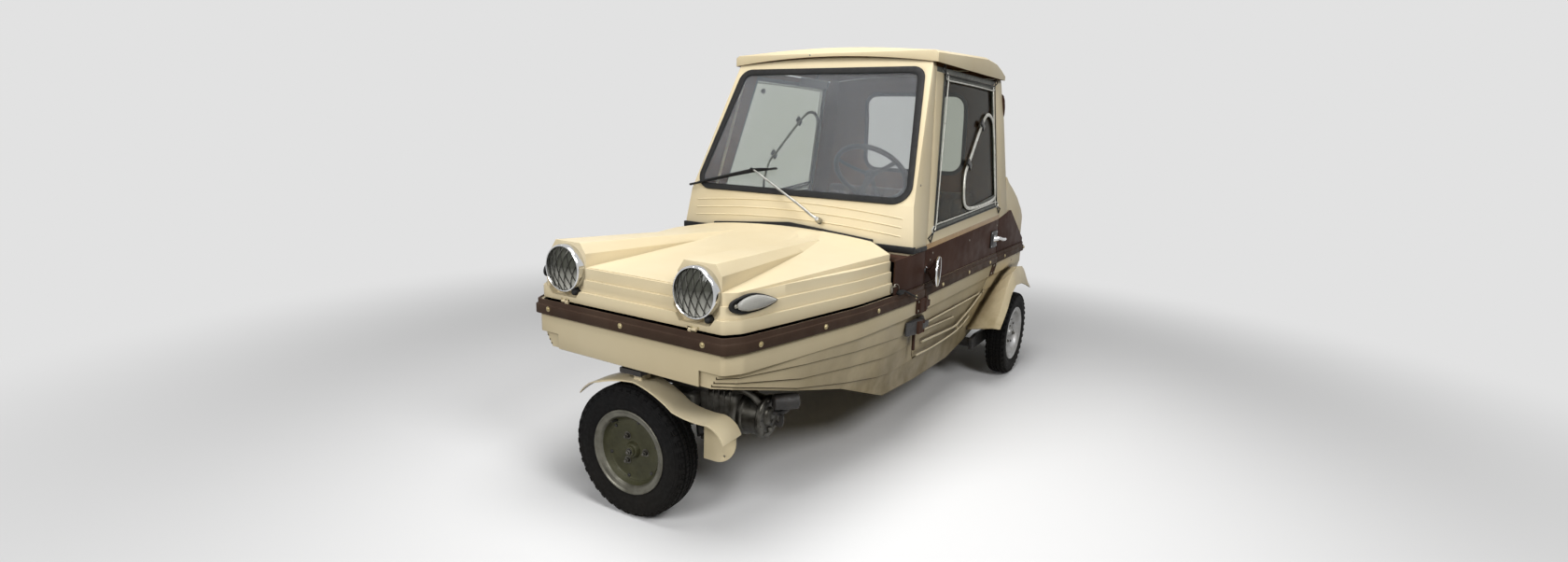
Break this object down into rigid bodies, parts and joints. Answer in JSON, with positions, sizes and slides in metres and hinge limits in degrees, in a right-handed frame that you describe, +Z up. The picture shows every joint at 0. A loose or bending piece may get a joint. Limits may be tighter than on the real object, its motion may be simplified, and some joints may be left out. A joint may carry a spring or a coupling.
{
  "type": "three wheeled car",
  "caption": "Closed microcar with a lapped glassfibre hull, a steered and driven front wheel unit, front hinged nose lid, two side doors and a fixed roof.",
  "frame": {"origin": "on the floor, below the middle of the car's length and width", "axes": "+Z up, nose towards -Y, the car's left side towards +X"},
  "size_m": [1.312, 2.718, 1.6284],
  "materials": {
    "cream_gelcoat": "gloss",
    "brown_gelcoat": "gloss",
    "white_gelcoat": "gloss",
    "black_rubber": "satin",
    "tyre_rubber": "matte",
    "window_glass": "gloss",
    "bright_aluminium": "satin",
    "chrome_trim": "gloss",
    "silver_steel": "satin",
    "black_steel": "satin",
    "engine_alloy": "matte",
    "seat_vinyl": "satin",
    "black_plastic": "satin",
    "lamp_glass": "gloss",
    "red_lens": "gloss"
  },
  "bodies": {
    "body": {"hull": "cream_gelcoat", "belt_strip": "brown_gelcoat", "body_side_panels": "brown_gelcoat", "cab_front": "cream_gelcoat", "rubber_seals": "black_rubber", "fixed_glass": "window_glass", "roof_cap": "cream_gelcoat", "rear_wall": "cream_gelcoat", "tail_deck": "cream_gelcoat", "toe_board": "black_plastic", "floor_and_seat_box": "black_plastic", "seat_cushion": "seat_vinyl", "seat_back": "seat_vinyl", "dashboard": "brown_gelcoat", "steering_column": "black_steel", "steering_head": "black_steel", "rear_suspension": "black_steel", "rear_fenders": "cream_gelcoat", "door_hinges": "brown_gelcoat", "wiper": "black_steel", "tail_lamps": "red_lens"},
    "hood": {"hood_shell": "cream_gelcoat", "headlamp_rings": "chrome_trim", "headlamp_lenses": "lamp_glass", "side_indicators": "lamp_glass"},
    "steered_unit": {"steering_fork": "black_steel", "engine_unit": "engine_alloy", "front_mudguard": "cream_gelcoat"},
    "front_wheel": {"front_tyre": "tyre_rubber", "front_rim": "silver_steel"},
    "rear_wheel_left": {"rear_left_tyre": "tyre_rubber", "rear_left_rim": "silver_steel"},
    "rear_wheel_right": {"rear_right_tyre": "tyre_rubber", "rear_right_rim": "silver_steel"},
    "handwheel": {"handwheel": "black_plastic"},
    "door_left": {"door_left_panel": "cream_gelcoat", "door_left_frame": "bright_aluminium", "door_left_glass": "window_glass", "door_left_strip": "brown_gelcoat", "door_left_fittings": "chrome_trim"},
    "door_right": {"door_right_panel": "cream_gelcoat", "door_right_frame": "bright_aluminium", "door_right_glass": "window_glass", "door_right_strip": "brown_gelcoat", "door_right_handle": "chrome_trim"}
  },
  "joints": [
    {"name": "steering", "type": "hinge", "parent": "body", "child": "steered_unit", "pos_m": [0, -1.284, 0.59], "axis": [0, 0, 1], "range_deg": [-3, 176]},
    {"name": "front_wheel_spin", "type": "hinge", "parent": "steered_unit", "child": "front_wheel", "pos_m": [-0.00998, -1.28456, 0.225], "axis": [0.0558, -0.9984, 0], "continuous": true},
    {"name": "rear_left_spin", "type": "hinge", "parent": "body", "child": "rear_wheel_left", "pos_m": [0.59, 0.981, 0.225], "axis": [1, 0, 0], "continuous": true},
    {"name": "rear_right_spin", "type": "hinge", "parent": "body", "child": "rear_wheel_right", "pos_m": [-0.59, 0.981, 0.225], "axis": [1, 0, 0], "continuous": true},
    {"name": "handwheel_turn", "type": "hinge", "parent": "body", "child": "handwheel", "pos_m": [0.13, 0.103, 1.09], "axis": [0, 0.729, 0.6846], "range_deg": [-6, 352]},
    {"name": "hood_hinge", "type": "hinge", "parent": "body", "child": "hood", "pos_m": [0, -1.34, 0.694], "axis": [1, 0, 0], "range_deg": [0, 65]},
    {"name": "door_left_hinge", "type": "hinge", "parent": "body", "child": "door_left", "pos_m": [0.564, -0.2495, 0.66], "axis": [0, 0, -1], "range_deg": [0, 46]},
    {"name": "door_right_hinge", "type": "hinge", "parent": "body", "child": "door_right", "pos_m": [-0.564, -0.2495, 0.66], "axis": [0, 0, 1], "range_deg": [0, 60]}
  ],
  "couplings": [
    {"joint": "handwheel_turn", "follows": "steering", "ratio": 2}
  ]
}
